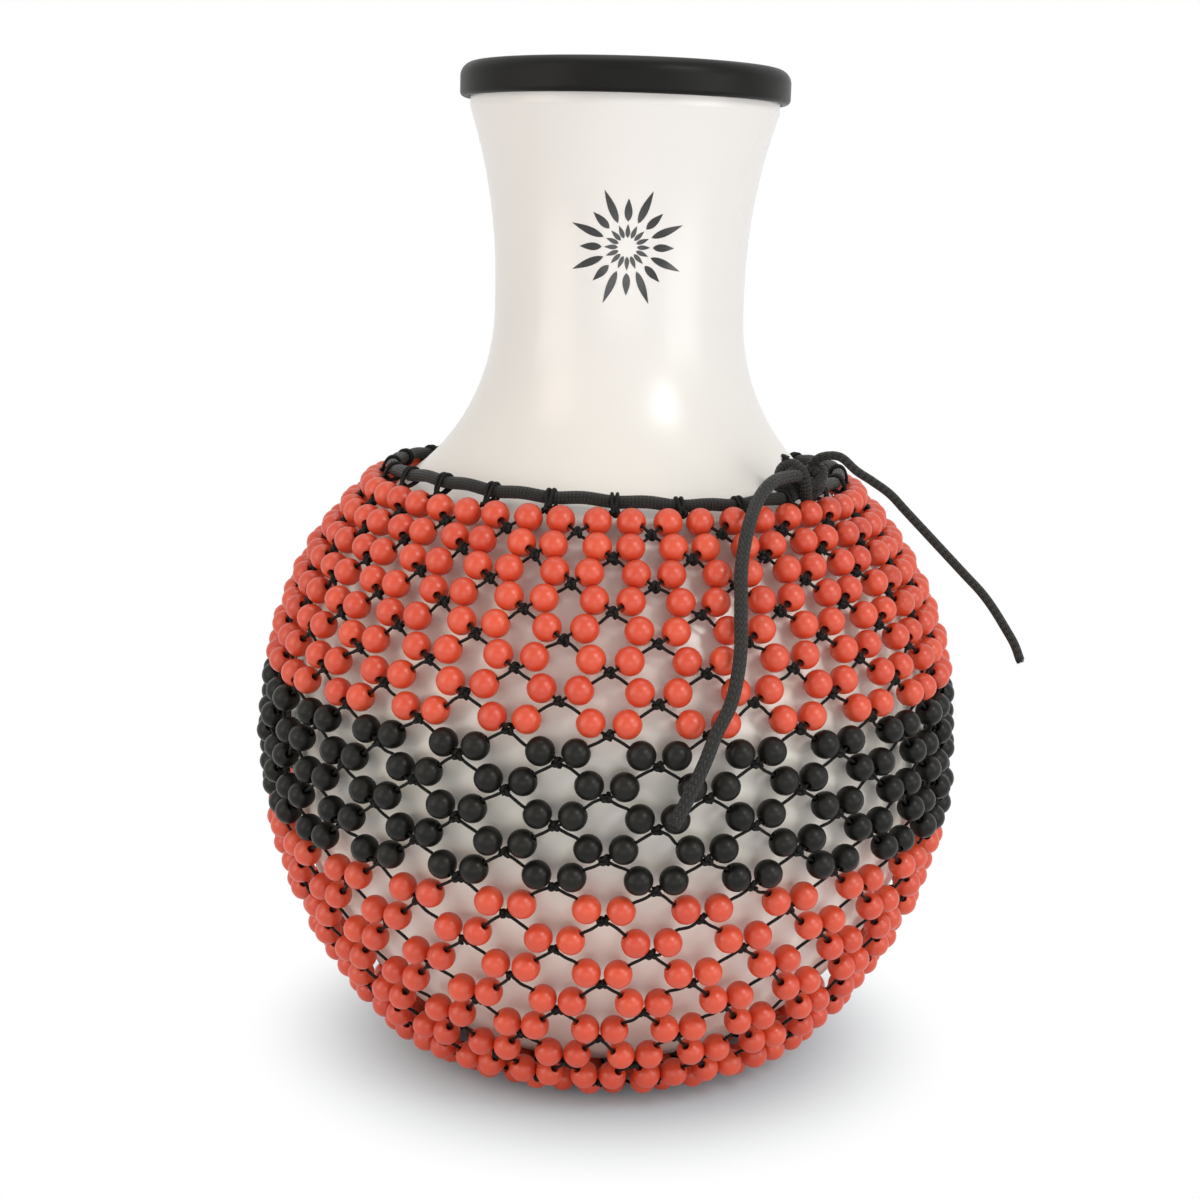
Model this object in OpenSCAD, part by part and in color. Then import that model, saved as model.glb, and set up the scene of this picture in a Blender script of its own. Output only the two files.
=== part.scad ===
// A gourd-shaped shaker: a hollow moulded shell with a rubber trim round its mouth, in a loose hand-tied net
// of threaded beads that hangs from a drawstring. Z points up, and the lowest beads rest at z = 0.

/* [Shell] */
// Outer radius of the round belly
belly_r = 112.5; // [106:0.5:119]
// Height of the straight band round the widest part
belly_band = 9; // [5:0.5:13]
// Radius of the flat under the belly, before its edge is rounded
base_flat_r = 54; // [48:1:60]
// Radius that rounds the edge of the flat
base_edge_r = 8; // [5:0.5:12]
// Thickness of the moulded wall
shell_wall = 3; // [2:0.25:4]
// Outer radius of the neck where it is narrowest
neck_r = 43; // [39:0.5:47]
// Length of the straight waist of the neck
waist_len = 9; // [5:0.5:14]
// Radius of the hollow curve from the shoulder to the neck
shoulder_r = 72; // [64:1:80]
// Radius of the long curve that flares the neck
flare_r = 185; // [150:5:230]
// Outer radius of the shell at the lip
lip_r = 52.5; // [50:0.25:56]
// Length of the straight lip that the trim grips
lip_len = 11.5; // [10:0.5:15]

/* [Rim trim] */
// Rubber on the outside of the lip
trim_out = 3.5; // [2.5:0.25:5]
// Rubber on the inside of the lip
trim_in = 3; // [2:0.25:4]
// Rubber above the lip
trim_top = 3; // [2:0.25:4]
// Height of the trim
trim_h = 11.5; // [10:0.5:14]
// Clearance between the lip and the groove of the trim
trim_fit = 0.1; // [0.05:0.05:0.3]

/* [Beads] */
// Diameter of a bead
bead_d = 9; // [8:0.1:9.6]
// Diameter of the hole through a bead
bead_bore = 2.6; // [2.2:0.1:3.4]
// Least gap between two beads of one row
bead_gap = 0.3; // [0.2:0.05:0.5]
// Gap between the stacked rows of beads above the dark band
stack_gap = 0.3; // [0.3:0.01:1.4]
// Gap between the stacked rows of beads from the dark band down
loose_gap = 0.78; // [0.7:0.01:1.4]
// Gap between the shell's flat and the beads that it stands on
seat_gap = 0.35; // [0.3:0.05:0.6]
// Gap between the belly and the beads that hang round it
net_play = 2.5; // [2.3:0.1:4]

/* [Net] */
// Knots in one round of the net
knots_round = 24; // [20:1:25]
// Rows of beads that are stacked on each other
packed_rows = 14; // [10:1:15]
// Rows of beads in all
bead_rows = 22; // [18:1:22]
// First row of the dark band
band_first = 9; // [6:1:12]
// Rows in the dark band
band_rows = 5; // [2:1:7]
// Length of one side of an open mesh, from knot to knot
mesh_side = 19.45; // [18.5:0.25:21]
// Diameter of the net's string
string_d = 1.2; // [0.8:0.1:1.6]
// Diameter of a knot
knot_d = 3.2; // [2.6:0.1:3.6]
// How far rows wander up and down round the net
sway = 0.7; // [0:0.1:1]
// Diameter of the cord that closes the net under the belly
base_cord_d = 2; // [1.4:0.1:2.6]

/* [Drawstring] */
// Diameter of the braided drawstring
cord_d = 4.2; // [3.4:0.1:5]
// Diameter of the tail that stands off, where the drawstring is pulled thin
thin_d = 2.9; // [2.4:0.1:4]
// Angle above the belly's middle at which the drawstring lies
top_u = 49; // [47:0.5:51]
// Direction in which the drawstring's knot faces
knot_at = -37.5; // [-37.5:15:322.5]
// How far the top of the net is drawn in towards the shoulder
lean_in = 1; // [0:0.25:1]

/* [Hidden] */

white = [0.95, 0.94, 0.91];
black = [0.11, 0.11, 0.105];
orange = [0.91, 0.33, 0.16];
charcoal = [0.17, 0.18, 0.165];

cut_over = 1;
ball_fn = 64;
round_fn = 48;
string_fn = 40;
ring_fn = 180;

// The shell stands on a layer of beads, and its belly is two half balls with a straight band between them.
base_z = bead_d + seat_gap;
belly_c = base_z + sqrt(pow(belly_r, 2) - pow(base_flat_r, 2));
crown_c = belly_c + belly_band;
shoulder_x = neck_r + shoulder_r;
waist_z = crown_c + sqrt(pow(belly_r + shoulder_r, 2) - pow(shoulder_x, 2));
tangent_share = belly_r / (belly_r + shoulder_r);
tangent_x = tangent_share * shoulder_x;
tangent_z = crown_c + tangent_share * (waist_z - crown_c);
flare_z = waist_z + waist_len;
flare_h = sqrt(pow(flare_r, 2) - pow(flare_r - (lip_r - neck_r), 2));
lip_z = flare_z + flare_h;
lip_top = lip_z + lip_len;

trim_r0 = lip_r - shell_wall - trim_in;
trim_r1 = lip_r + trim_out;
trim_w = trim_r1 - trim_r0;
trim_z1 = lip_top + trim_fit + trim_top;
trim_z0 = trim_z1 - trim_h;

// The net's line is where the beads' centres lie, by the angle u above or below the belly's middle.
net_r = belly_r + net_play + bead_d / 2;
rise_half = 10;
step_ahead = 2;
lean_from = 20;
sag_out = 0.033 * net_r;
sag_at = 52;
sag_width = 12;
first_step = bead_d;
packed_step = bead_d + stack_gap;
loose_step = bead_d + loose_gap;
last_side = 1.13 * mesh_side;
knot_gap = 0.3;
string_gap = 0.12;
// How far up its string a bead is held by the beads under it, in the rows below the collar.
held_shares = [0.54, 0.45, 0.44, 0.43, 0.42, 0.41, 0.39, 0.37];
held_stray_share = 0.008;
leg_gap = 0.25;
wrap_fit = 0.2;
wrap_step = 2 * string_d;

collar_at = net_line(top_u);
wrap_reach = wrap_fit + string_d / 2;
hitch_drop = sqrt(pow(knot_d / 2 + leg_gap + string_d / 2, 2) - pow(wrap_step / 2, 2));
hitch_reach = cord_d / 2 + wrap_reach + hitch_drop;
hitch_u = top_u - hitch_reach / mm_per_degree(top_u);
knot_us = [for (k = 0, u = hitch_u; k <= bead_rows; k = k + 1, u = u - row_step(k, u) / mm_per_degree(u)) u];
base_hitch_reach = base_cord_d / 2 + wrap_reach + hitch_drop;
base_ring_at = net_line(knot_us[bead_rows]) - [base_hitch_reach, 0];

// How far a knot strays from its even place: along its row, down the net and away from the shell.
stray_along = 0.22;
stray_down = 0.06;
stray_out = 0.65;
stray_lift = 0.25;
calm_rows = 4;
stray_seed = 61;
strays = [for (k = [0:bead_rows]) rands(-1, 1, 3 * knots_round, stray_seed + k)];
held_strays = [for (k = [0:bead_rows]) rands(-1, 1, 2 * knots_round, stray_seed - k)];

// The drawstring's knot lies a little above the collar.
knot_half = 1.15 * cord_d;
knot_loop_r = 0.85 * cord_d;
knot_cord_d = 0.92 * cord_d;
knot_lift = 1.3 * cord_d;
knot_end_gap = 0.2;
stub_len = 2.3 * cord_d;

tail_sides = 10;
tail_front_route = [
    [61, -51, 212], [58, -57, 213], [53, -64, 213], [49, -71, 212], [45, -78, 208], [42, -86, 202],
    [40, -93, 195], [39, -99, 188], [39, -103, 181], [39, -107, 174], [39, -111, 167], [38, -115, 159],
    [36, -118, 151], [32, -121, 143], [29, -123, 135], [25, -125, 126], [20, -127, 116]
];
tail_side_route = [
    [63, -47, 213], [65, -49, 217], [68, -51, 219], [73, -53, 219], [78, -55, 215], [83, -56, 212],
    [89, -57, 208], [94, -59, 203], [99, -61, 198], [104, -62, 193], [109, -63, 188], [114, -64, 183],
    [119, -65, 178], [123, -66, 173], [127, -67, 167], [130, -69, 162], [132, -70, 157]
];

function row_name(stem, k) = str(stem, k < 10 ? "0" : "", k);
function unit(v) = v / norm(v);
function turned(rz, a) = [rz.x * cos(a), rz.x * sin(a), rz.y];

function rise(u) = belly_band * min(1, max(0, (u + rise_half) / (2 * rise_half)));
function lean(u) = -lean_in * pow(max(0, (u - lean_from) / (top_u - lean_from)), 2);
function sag(u) = sag_out * exp(-pow((u + sag_at) / sag_width, 2));
function reach(u) = net_r + lean(u) + sag(u);
function net_line(u) = [
    reach(u) * cos(u),
    max(bead_d / 2, belly_c + rise(u) + reach(u) * sin(u))
];
function mm_per_degree(u) =
    net_r * PI / 180 + (abs(u - step_ahead) < rise_half ? belly_band / (2 * rise_half) : 0);
function half_pitch(u) = PI * net_line(u).x / knots_round;
function open_step(side, u) = sqrt(max(pow(loose_step, 2), pow(side, 2) - pow(half_pitch(u), 2)));
function row_step(k, u) =
    k == 1 ? first_step
    : k < band_first ? packed_step
    : k <= packed_rows ? loose_step
    : open_step(k < bead_rows ? mesh_side : last_side, u);

// Knots sit halfway between those of the row above. Rows near the collar and the base lie even.
function calm(k) = max(0, min(1, k / calm_rows, (bead_rows - 2 - k) / calm_rows));
function wander(a) = sway * (sin(2 * a + 40) + 0.6 * sin(3 * a + 200) + 0.5 * sin(5 * a + 90));
function knot_place(k, i) =
    let (
        n = 3 * i,
        even_a = (i + (k % 2) / 2) * 360 / knots_round,
        r = net_line(knot_us[k]).x,
        a = even_a + calm(k) * stray_along * strays[k][n] / r * 180 / PI,
        down = wander(even_a) + stray_down * strays[k][n + 1],
        u = knot_us[k] - calm(k) * down / mm_per_degree(knot_us[k]),
        out = calm(k) * (stray_lift + stray_out * strays[k][n + 2])
    )
    turned(net_line(u) + out * [cos(u), sin(u)], a);
knot_places = [for (k = [0:bead_rows]) [for (i = [0:knots_round - 1]) knot_place(k, i)]];

// The knots to the left and right of knot i, in the row above or below row k.
function beside(k, i, side) = (i + side - (k % 2 == 0 ? 1 : 0) + knots_round) % knots_round;

// How far from a knot a bead on one of its strings lies clear of the other string.
function parting(knot, one, other) = norm(cross(unit(one - knot), unit(other - knot)));
function clear_len(parted) =
    max(bead_d / 2 + knot_d / 2 + knot_gap, (bead_d / 2 + string_d / 2 + string_gap) / parted);

// A bead slides down its string to the lower knot, as far as the beads under it and beside it let it.
// Where a row is too short for its beads to lie side by side, one rests at the lower knot and the next
// at the upper one. The last row has room for half as many beads, halfway between their neighbour strings.
function sides(k) = k < bead_rows ? [0, 1] : [0];
function held_share(k, i, side) =
    k > len(held_shares) ? 0 : held_shares[k - 1] + held_stray_share * held_strays[k][2 * i + side];
function slide_share(k, i, side, way_len, low_parting, high_parting) =
    let (
        spread = bead_d + bead_gap,
        rest_share = clear_len(low_parting) / way_len,
        top_share = 1 - clear_len(high_parting) / way_len,
        least_share = spread / (2 * half_pitch(knot_us[k - 1])),
        most_share = min(top_share, 1 - spread / (2 * half_pitch(knot_us[k])))
    )
    k == bead_rows ? high_parting / (low_parting + high_parting)
    : least_share <= most_share ? min(most_share, max(rest_share, least_share, held_share(k, i, side)))
    : side == 0 ? rest_share
    : top_share;
function bead_place(k, i, side) =
    let (
        low = knot_places[k][i],
        above = beside(k, i, side),
        high = knot_places[k - 1][above],
        low_parting = parting(low, high, knot_places[k - 1][beside(k, i, 1 - side)]),
        high_parting = parting(high, low, knot_places[k][beside(k - 1, above, side)])
    )
    let (share = slide_share(k, i, side, norm(high - low), low_parting, high_parting))
    [low + share * (high - low), unit(high - low)];

module point_along(v) {
    rotate([0, acos(unit(v).z), atan2(v.y, v.x)])
        children();
}

// Turns Z to run along the way, and X to look as nearly as it can to the side given.
module face_along(way, side) {
    z = unit(way);
    y = unit(cross(z, side));
    x = cross(y, z);
    multmatrix([[x.x, y.x, z.x, 0], [x.y, y.y, z.y, 0], [x.z, y.z, z.z, 0]])
        children();
}

// Half of the shell's outline, drawn in by the inset, for the outside and the hollow.
module gourd_outline(inset) {
    belly = belly_r - inset;
    floor_z = base_z + inset;
    edge = max(base_edge_r - inset, cut_over);
    edge_c = [sqrt(pow(belly - edge, 2) - pow(belly_c - floor_z - edge, 2)), floor_z + edge];
    edge_way = (edge_c - [0, belly_c]) / (belly - edge);
    intersection() {
        translate([0, floor_z])
            square([2 * belly_r, 2 * lip_top]);
        union() {
            difference() {
                translate([0, belly_c])
                    circle(r = belly, $fn = ring_fn);
                polygon([
                    edge_c,
                    [edge_c.x, floor_z - cut_over],
                    [belly_r, floor_z - cut_over],
                    edge_c + (edge + belly_r - edge_c.x) * edge_way
                ]);
            }
            translate(edge_c)
                circle(r = edge, $fn = round_fn);
            translate([0, belly_c])
                square([belly, belly_band]);
            translate([0, crown_c])
                circle(r = belly, $fn = ring_fn);
            difference() {
                translate([0, tangent_z])
                    square([tangent_x, waist_z - tangent_z]);
                translate([shoulder_x, waist_z])
                    circle(r = shoulder_r + inset, $fn = ring_fn);
            }
            translate([0, waist_z])
                square([neck_r - inset, waist_len]);
            difference() {
                translate([0, flare_z])
                    square([lip_r - inset, flare_h]);
                translate([neck_r + flare_r, flare_z])
                    circle(r = flare_r + inset, $fn = 2 * ring_fn);
            }
            translate([0, lip_z])
                square([lip_r - inset, lip_len + (inset > 0 ? cut_over : 0)]);
        }
    }
}

module shell() {
    color(white)
        rotate_extrude($fn = ring_fn)
            difference() {
                gourd_outline(0);
                gourd_outline(shell_wall);
            }
}

module rim_trim() {
    out_leg = trim_out - trim_fit;
    in_leg = trim_in - trim_fit;
    crown_z = trim_z1 - trim_w / 2;
    color(black)
        rotate_extrude($fn = ring_fn)
            difference() {
                union() {
                    translate([trim_r0 + trim_w / 2, crown_z])
                        circle(d = trim_w, $fn = round_fn);
                    translate([trim_r0, trim_z0 + in_leg / 2])
                        square([trim_w / 2, crown_z - trim_z0 - in_leg / 2]);
                    translate([trim_r0 + trim_w / 2, trim_z0 + out_leg / 2])
                        square([trim_w / 2, crown_z - trim_z0 - out_leg / 2]);
                    translate([trim_r0 + in_leg / 2, trim_z0 + in_leg / 2])
                        circle(d = in_leg, $fn = round_fn);
                    translate([trim_r1 - out_leg / 2, trim_z0 + out_leg / 2])
                        circle(d = out_leg, $fn = round_fn);
                }
                translate([trim_r0 + in_leg, trim_z0 - cut_over])
                    square([shell_wall + 2 * trim_fit, lip_top + trim_fit - trim_z0 + cut_over]);
            }
}

module cord_arc(from_a, to_a, d) {
    rotate([0, 0, from_a])
        rotate_extrude(angle = to_a - from_a, $fn = ring_fn)
            translate([collar_at.x, 0])
                circle(d = d, $fn = round_fn);
}

module drawstring_collar() {
    half_a = (knot_half + knot_end_gap) / collar_at.x * 180 / PI;
    color(black)
        translate([0, 0, collar_at.y])
            cord_arc(knot_at + half_a, knot_at + 360 - half_a, cord_d);
}

module ring(r, d) {
    rotate_extrude($fn = round_fn)
        translate([r, 0])
            circle(d = d, $fn = string_fn);
}

// The knot is drawn with X outwards, Y along the collar and Z up, round the collar's own cord.
module collar_knot() {
    half_a = knot_half / collar_at.x * 180 / PI;
    color(black) {
        translate([0, 0, collar_at.y])
            cord_arc(knot_at - half_a, knot_at + half_a, cord_d);
        translate(turned(collar_at, knot_at))
            rotate([0, 0, knot_at])
                translate([0, 0, knot_lift]) {
                    for (side = [-1, 1])
                        translate([0, side * knot_loop_r / 2, 0])
                            rotate([90, side * 20, side * 14])
                                ring(knot_loop_r, knot_cord_d);
                    rotate([18, 70, 0])
                        ring(knot_loop_r, knot_cord_d);
                    rotate([-60, -48, 0])
                        cylinder(d1 = knot_cord_d, d2 = knot_cord_d / 2, h = stub_len, $fn = string_fn);
                }
    }
}

// Two wraps of string round a cord that runs along Y, side by side. The knot below them rests against both.
module wraps(d) {
    for (side = [-1, 1])
        translate([0, side * wrap_step / 2, 0])
            rotate([90, 0, 0])
                ring(d / 2 + wrap_reach, string_d);
}

// A knot and the two strings that run down from it. The ball's seam lies on the far side from the strings,
// and the seams of the strings on their outer sides.
module knot_and_legs(k, i) {
    ways = [for (side = [0, 1]) knot_places[k + 1][beside(k, i, side)] - knot_places[k][i]];
    left = unit(ways[0]);
    right = unit(ways[1]);
    translate(knot_places[k][i]) {
        face_along(cross(left, right), -left - right)
            sphere(d = knot_d, $fn = ball_fn);
        for (way = ways)
            face_along(way, cross(left, right) + unit(way) - (left + right) / 2)
                cylinder(d = string_d, h = norm(way) - knot_d / 2 - leg_gap, $fn = string_fn);
    }
}

module collar_hitches() {
    color(black)
        for (i = [0:knots_round - 1]) {
            union()
                knot_and_legs(0, i);
            translate(turned(collar_at, i * 360 / knots_round))
                rotate([0, 0, i * 360 / knots_round])
                    wraps(cord_d);
        }
}

module net_row(k) {
    color(black)
        for (i = [0:knots_round - 1])
            union()
                knot_and_legs(k, i);
}

module bead() {
    difference() {
        sphere(d = bead_d, $fn = ball_fn);
        cylinder(d = bead_bore, h = bead_d + 2 * cut_over, center = true, $fn = round_fn);
    }
}

module bead_row(k) {
    dark = k >= band_first && k < band_first + band_rows;
    color(dark ? charcoal : orange)
        for (i = [0:knots_round - 1], side = sides(k)) {
            set = bead_place(k, i, side);
            translate(set[0])
                point_along(set[1])
                    bead();
        }
}

module base_ring() {
    color(black)
        translate([0, 0, base_ring_at.y])
            rotate_extrude($fn = ring_fn)
                translate([base_ring_at.x, 0])
                    circle(d = base_cord_d, $fn = string_fn);
}

module base_hitches() {
    color(black)
        for (i = [0:knots_round - 1]) {
            a = (i + (bead_rows % 2) / 2) * 360 / knots_round;
            translate(knot_places[bead_rows][i])
                sphere(d = knot_d, $fn = ball_fn);
            translate(turned(base_ring_at, a))
                rotate([0, 0, a])
                    wraps(base_cord_d);
        }
}

// A cord swept along its route, with one ring of corners at each point of the route.
module tail(route, d) {
    last = len(route) - 1;
    flat_way = [0, 1, 0];
    corners = [
        for (i = [0:last])
            let (
                way = unit(route[min(last, i + 1)] - route[max(0, i - 1)]),
                across = unit(cross(flat_way, way)),
                over = cross(way, across)
            )
            for (j = [0:tail_sides - 1])
                let (a = j * 360 / tail_sides)
                route[i] + d / 2 * (cos(a) * across + sin(a) * over)
    ];
    walls = [
        for (i = [0:last - 1], j = [0:tail_sides - 1])
            let (
                here = i * tail_sides + j,
                next = i * tail_sides + (j + 1) % tail_sides
            )
            for (face = [[here, here + tail_sides, next], [next, here + tail_sides, next + tail_sides]])
                face
    ];
    foot = [for (j = [0:tail_sides - 1]) j];
    tip = [for (j = [tail_sides - 1:-1:0]) last * tail_sides + j];
    color(black)
        polyhedron(points = corners, faces = concat(walls, [foot, tip]));
}

shell();
rim_trim();
drawstring_collar();
collar_knot();
tail(tail_front_route, cord_d);  // tail_front
tail(tail_side_route, thin_d);  // tail_side
collar_hitches();
for (k = [1:bead_rows - 1])
    net_row(k);
for (k = [1:bead_rows])
    bead_row(k);
base_ring();
base_hitches();
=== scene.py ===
"""The looks of a gourd-shaped shaker: glossy shell, rubber rim, bead net and braided drawstring."""

import math

import bpy
import numpy as np
from mathutils import Matrix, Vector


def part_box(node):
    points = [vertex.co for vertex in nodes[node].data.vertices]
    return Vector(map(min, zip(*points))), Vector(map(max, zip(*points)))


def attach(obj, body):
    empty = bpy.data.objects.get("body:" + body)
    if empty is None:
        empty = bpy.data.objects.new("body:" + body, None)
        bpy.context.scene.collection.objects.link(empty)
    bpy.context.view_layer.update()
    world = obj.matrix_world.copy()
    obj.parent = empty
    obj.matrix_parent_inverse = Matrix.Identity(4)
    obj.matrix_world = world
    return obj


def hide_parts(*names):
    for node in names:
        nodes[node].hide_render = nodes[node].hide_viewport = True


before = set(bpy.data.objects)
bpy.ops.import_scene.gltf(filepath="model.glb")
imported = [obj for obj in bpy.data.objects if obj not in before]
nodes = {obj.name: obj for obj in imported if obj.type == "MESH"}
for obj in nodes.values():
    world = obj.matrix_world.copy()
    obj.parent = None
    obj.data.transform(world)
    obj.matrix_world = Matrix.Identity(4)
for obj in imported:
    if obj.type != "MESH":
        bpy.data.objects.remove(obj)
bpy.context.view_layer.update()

# Lengths in metres
MM = 0.001
BEAD_R = 4.6 * MM
BORE_R = 1.3 * MM
KNOT_R = 1.6 * MM
STRING_R = 0.52 * MM
CORD_R = 2.1 * MM
THIN_R = 1.45 * MM
CLOSING_R = 1.0 * MM
THREAD_R = 0.09 * MM
COLLAR_R = 77.74 * MM
COLLAR_Z = 206.48 * MM
BELLY_MIDDLE = np.array([0.0, 0.0, 0.1125])

# Knots in a round of the net, rows of beads, and the rows that are black
ROUND = 24
BEAD_ROWS = 22
DARK_ROWS = range(9, 14)

# Sides of each kind of round piece, and points round a closed cord
BEAD_SIDES = 24
CORD_SIDES = 16
CLOSING_SIDES = 10
HITCH_SIDES = 8
STRING_SIDES = 7
THREAD_SIDES = 4
LOOP_POINTS = 288

FULL_TURN = 2 * np.pi
rng = np.random.default_rng(7)


# Small tools for points and meshes


def unit(v):
    return v / np.linalg.norm(v, axis=-1, keepdims=True)


def about_axis(r, angle, z):
    """Points at these radii, angles and heights."""
    return np.stack(np.broadcast_arrays(r * np.cos(angle), r * np.sin(angle), z), axis=-1)


def all_indices(*counts):
    """Every combination of indices below these counts, as one flat array for each count."""
    return (x.ravel() for x in np.meshgrid(*map(np.arange, counts), indexing="ij"))


def smooth_through(points, steps):
    """Points on a smooth curve through the given ones, steps to each stretch."""
    p = np.asarray(points, float)
    first = 2 * p[..., :1, :] - p[..., 1:2, :]
    last = 2 * p[..., -1:, :] - p[..., -2:-1, :]
    q = np.concatenate([first, p, last], axis=-2)
    a, b, c, d = (q[..., i : q.shape[-2] - 3 + i, None, :] for i in range(4))
    t = (np.arange(steps) / steps)[:, None]
    square = (2 * a - 5 * b + 4 * c - d) * t**2
    cube = (3 * b - a - 3 * c + d) * t**3
    curve = 0.5 * (2 * b + (c - a) * t + square + cube)
    return np.concatenate([curve.reshape(*p.shape[:-2], -1, 3), p[..., -1:, :]], axis=-2)


def carried_frames(paths, closed):
    """Two directions across each path at each of its points, carried along without twist."""
    if closed:
        along = unit(np.roll(paths, -1, axis=1) - np.roll(paths, 1, axis=1))
    else:
        along = unit(np.gradient(paths, axis=1))
    across = np.empty_like(along)
    upright = np.abs(along[:, 0, 2:]) > 0.9
    start = np.where(upright, [[1.0, 0.0, 0.0]], [[0.0, 0.0, 1.0]])
    a = unit(np.cross(along[:, 0], start))
    for i in range(along.shape[1]):
        a = unit(a - np.sum(a * along[:, i], axis=-1, keepdims=True) * along[:, i])
        across[:, i] = a
    return across, np.cross(along, across)


def tubes(paths, radius, sides, closed=False):
    """Tubes along paths, as (corners, faces, chart).

    The chart holds the way round as a share and the way along in millimetres.
    """
    paths = np.asarray(paths, float)
    count, rings = paths.shape[:2]
    across, over = carried_frames(paths, closed)
    angle = FULL_TURN * np.arange(sides)[:, None] / sides
    ring = np.cos(angle) * across[:, :, None, :] + np.sin(angle) * over[:, :, None, :]
    size = np.broadcast_to(np.asarray(radius, float), (count, rings))[:, :, None, None]
    corners = (paths[:, :, None, :] + size * ring).reshape(-1, 3)
    steps = np.linalg.norm(np.diff(paths, axis=1), axis=-1) / MM
    way = np.concatenate([np.zeros((count, 1)), np.cumsum(steps, axis=1)], axis=1)
    if closed:
        last = np.linalg.norm(paths[:, 0] - paths[:, -1], axis=-1)[:, None] / MM
        way = np.concatenate([way, way[:, -1:] + last], axis=1)
    t, i, j = all_indices(count, rings if closed else rings - 1, sides)
    here, there = (t * rings + i) * sides, (t * rings + (i + 1) % rings) * sides
    beside = (j + 1) % sides
    faces = np.stack([here + j, here + beside, there + beside, there + j], axis=1).tolist()
    u0, u1 = j / sides, (j + 1) / sides
    v0, v1 = way[t, i], way[t, i + 1]
    chart = np.stack([u0, v0, u1, v0, u1, v1, u0, v1], axis=1).reshape(-1, 2)
    if not closed:
        for k in range(count):
            start, end = k * rings * sides, (k * rings + rings - 1) * sides
            faces.append(list(range(start + sides - 1, start - 1, -1)))
            faces.append(list(range(end, end + sides)))
            chart = np.concatenate([chart, np.full((2 * sides, 2), 0.5)])
    return corners, faces, chart


def lathe(profile, sides):
    """A closed outline of (radius, height) points turned about Z, as (corners, faces)."""
    angle = FULL_TURN * np.arange(sides) / sides
    r, z = np.asarray(profile, float).T[:, :, None]
    i, j = all_indices(len(r), sides)
    here, above = i * sides, (i + 1) % len(r) * sides
    beside = (j + 1) % sides
    faces = np.stack([here + j, here + beside, above + beside, above + j], axis=1)
    return about_axis(r, angle, z).reshape(-1, 3), faces


def joined(parts):
    """Several (corners, faces, chart) as one."""
    corners, faces, charts, base = [], [], [], 0
    for c, f, m in parts:
        corners.append(c)
        faces += [[x + base for x in face] for face in f]
        charts.append(m)
        base += len(c)
    return np.concatenate(corners), faces, np.concatenate(charts)


def add_object(name, data):
    thing = bpy.data.objects.new(name, data)
    bpy.context.scene.collection.objects.link(thing)
    return thing


def add_piece(
    name, corners, faces, material, chart=None, tone=None, body="net", slot=None, stands_for=()
):
    """A smooth mesh piece that rides on a body and stands for some of the frame's nodes."""
    mesh = bpy.data.meshes.new(name)
    mesh.from_pydata(corners.tolist(), [], faces)
    if chart is not None:
        way = mesh.uv_layers.new(name="way")
        way.uv.foreach_set("vector", np.asarray(chart, np.float32).ravel())
    if tone is not None:
        shade = mesh.attributes.new("tone", "FLOAT", "POINT")
        shade.data.foreach_set("value", np.asarray(tone, np.float32))
    mesh.shade_smooth()
    mesh.materials.append(material)
    piece = add_object(name, mesh)
    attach(piece, body)
    if stands_for:
        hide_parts(*stands_for)
    return piece


def add_tubes(name, shape, material, slot, **more):
    """A piece made of tubes."""
    corners, faces, chart = shape
    return add_piece(name, corners, faces, material, chart, slot=slot, **more)


# Materials

# The stretch of a noise that holds nearly all its values
NOISE_SPAN = (0.3, 0.7)

# The darker and the lighter end of each colour
ORANGE = (0.60, 0.053, 0.018, 1), (0.71, 0.082, 0.028, 1)
BLACK = (0.006, 0.0058, 0.0046, 1), (0.012, 0.0115, 0.009, 1)
# For the string, the darker end is painted shade down in the grooves of its twist
STRING_SHADED_IN_GROOVES = (0.003, 0.003, 0.0026, 1), (0.012, 0.0115, 0.010, 1)
THREAD = (0.015, 0.015, 0.013, 1), (0.025, 0.025, 0.021, 1)
# For the shell: a paler, warmer colour low down as painted light, and a darker one up the neck as
# painted shade
LOW_SHELL_PAINTED_LIGHTER = (0.86, 0.82, 0.735, 1), (0.90, 0.86, 0.785, 1)
HIGH_SHELL_PAINTED_DARKER = (0.77, 0.75, 0.72, 1), (0.81, 0.795, 0.77, 1)
RUBBER = (0.006, 0.006, 0.0055, 1), (0.011, 0.011, 0.010, 1)
INK = (0.010, 0.010, 0.010, 1), (0.022, 0.021, 0.020, 1)
# The painted shade down in the grooves of the braid
GROOVE_PAINTED_SHADE = (0.004, 0.004, 0.0035, 1)
DUST = (0.030, 0.029, 0.025, 1)
DUST_SHARE = 0.4
CLOUD_SHARE = 0.4
ROUGH_LESS, ROUGH_MORE = 0.05, 0.07

# The heights between which the shell's colour turns from paler and warmer low down, painted lighter
# against the shade among the beads, to darker up the neck, painted darker against its stronger
# light
PAINTED_LIGHTER_BELOW, PAINTED_DARKER_ABOVE = 0.17, 0.26


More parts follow.
